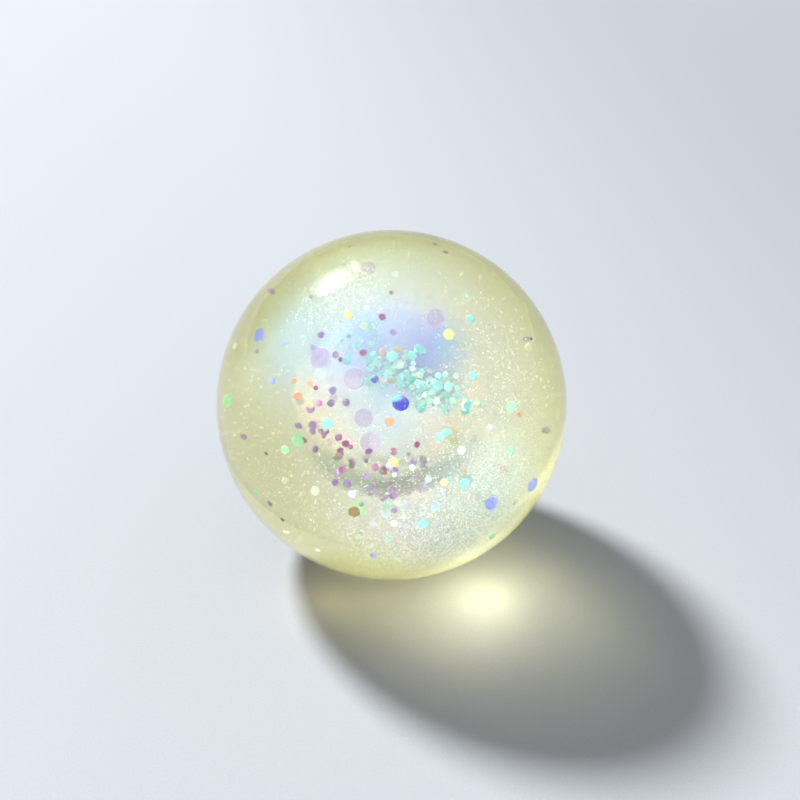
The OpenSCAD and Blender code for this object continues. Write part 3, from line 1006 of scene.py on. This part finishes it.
def make_glow(name, place, width, depth, watts, colour, floor):
    """A small lamp over the floor beside the ball's foot, which nothing but the floor shows."""
    data = bpy.data.lights.new(name, "AREA")
    data.use_shadow = False
    data.shape = "ELLIPSE"
    data.size = width * MM
    data.size_y = depth * MM
    data.energy = watts
    data.color = colour
    lamp = link(bpy.data.objects.new(name, data))
    lamp.location = [value * MM for value in place]
    lamp.visible_camera = False
    lamp.visible_glossy = False
    lamp.visible_transmission = False
    lit_only(lamp, [floor])


def make_world():
    """A dim even fill, and a pale surrounding for the eye, the gloss and the glass."""
    world = bpy.data.worlds.new("studio")
    bpy.context.scene.world = world
    world.use_nodes = True
    tree = world.node_tree
    tree.nodes.clear()

    def math_node(operation, a, b):
        node = tree.nodes.new("ShaderNodeMath")
        node.operation = operation
        for socket, value in zip(node.inputs, (a, b)):
            if isinstance(value, bpy.types.NodeSocket):
                tree.links.new(value, socket)
            else:
                socket.default_value = value
        return node.outputs[0]

    def background(colour, strength):
        node = tree.nodes.new("ShaderNodeBackground")
        node.inputs["Color"].default_value = colour
        node.inputs["Strength"].default_value = strength
        return node.outputs[0]

    path = tree.nodes.new("ShaderNodeLightPath").outputs
    eye = math_node("MAXIMUM", path["Is Camera Ray"], path["Is Glossy Ray"])
    eye = math_node("MAXIMUM", eye, path["Is Transmission Ray"])
    eye = math_node("MULTIPLY", eye, math_node("LESS_THAN", path["Diffuse Depth"], 0.5))
    mix = tree.nodes.new("ShaderNodeMixShader")
    tree.links.new(eye, mix.inputs[0])
    tree.links.new(background(*FILL), mix.inputs[1])
    tree.links.new(background(*SURROUNDING), mix.inputs[2])
    output = tree.nodes.new("ShaderNodeOutputWorld")
    tree.links.new(mix.outputs[0], output.inputs["Surface"])


def soft(piece, body):
    """A piece that goes with a body, with a mesh of its own."""
    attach(piece, body)
    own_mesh(piece)


scene = bpy.context.scene
scene.view_settings.view_transform = "Standard"
# Sight has to cross every layer of the cloud, the haze and the films
scene.cycles.transparent_max_bounces = 128
make_camera()
floor = make_floor()
make_world()
make_lamp("lamp", LAMP_TO, LAMP_WIDE, LAMP_WATTS)
make_softbox()
for glow in GLOWS:
    make_glow(*glow, floor)

skin = make_skin()
soft(skin, "skin")
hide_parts("ball_skin")

plug = make_plug()
soft(plug, "skin")
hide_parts("fill_plug")

gel = make_gel()
soft(gel, "filling")
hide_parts("gel_filling")

cloud = make_cloud()
haze = make_haze()
for piece, slot, node in ((cloud, "cloud", "pearl_cloud"), (haze, "haze", "pearl_haze")):
    soft(piece, "filling")
    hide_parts(node)

glitter = make_flakes()
blue_dots = [piece for piece in glitter if piece.name == "periwinkle_dot"]
sparkle = make_sparkle()
dust = make_dust("fine_dust", DUST, GOLD_SPECKS, 5)
silver = make_dust("silver_dust", SILVER_DUST, SILVER_SPECKS, 8)
pearls = make_pearl_sparkle()
glitter += [sparkle, dust, silver, pearls]
for piece in glitter:
    soft(piece, "glitter")

inner_light = make_lamp("inner_light", INNER_TO, BROAD, INNER_WATTS)
inner_light.visible_glossy = False
lit_only(inner_light, glitter + [cloud, haze, gel, skin])
for name, direction, watts, pieces in (
    ("glitter_light", INNER_TO, 115.0, glitter),
    ("cloud_light", FRONT_TO, 125.0, [cloud]),
    ("left_edge_light", LEFT_TO, 45.0, [cloud]),
    ("edge_light", RIGHT_TO, 60.0, [cloud]),
    ("low_light", LOW_TO, 100.0, [haze, dust, silver, pearls, cloud]),
    ("blue_dot_light", INNER_TO, 130.0, blue_dots),
):
    lit_only(make_lamp(name, direction, BROAD, watts), pieces)

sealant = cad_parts["plug_sealant"]
sealant.data.materials.clear()
sealant.data.materials.append(joined_material("sealant", (0.97, 0.96, 0.88), 0.12))
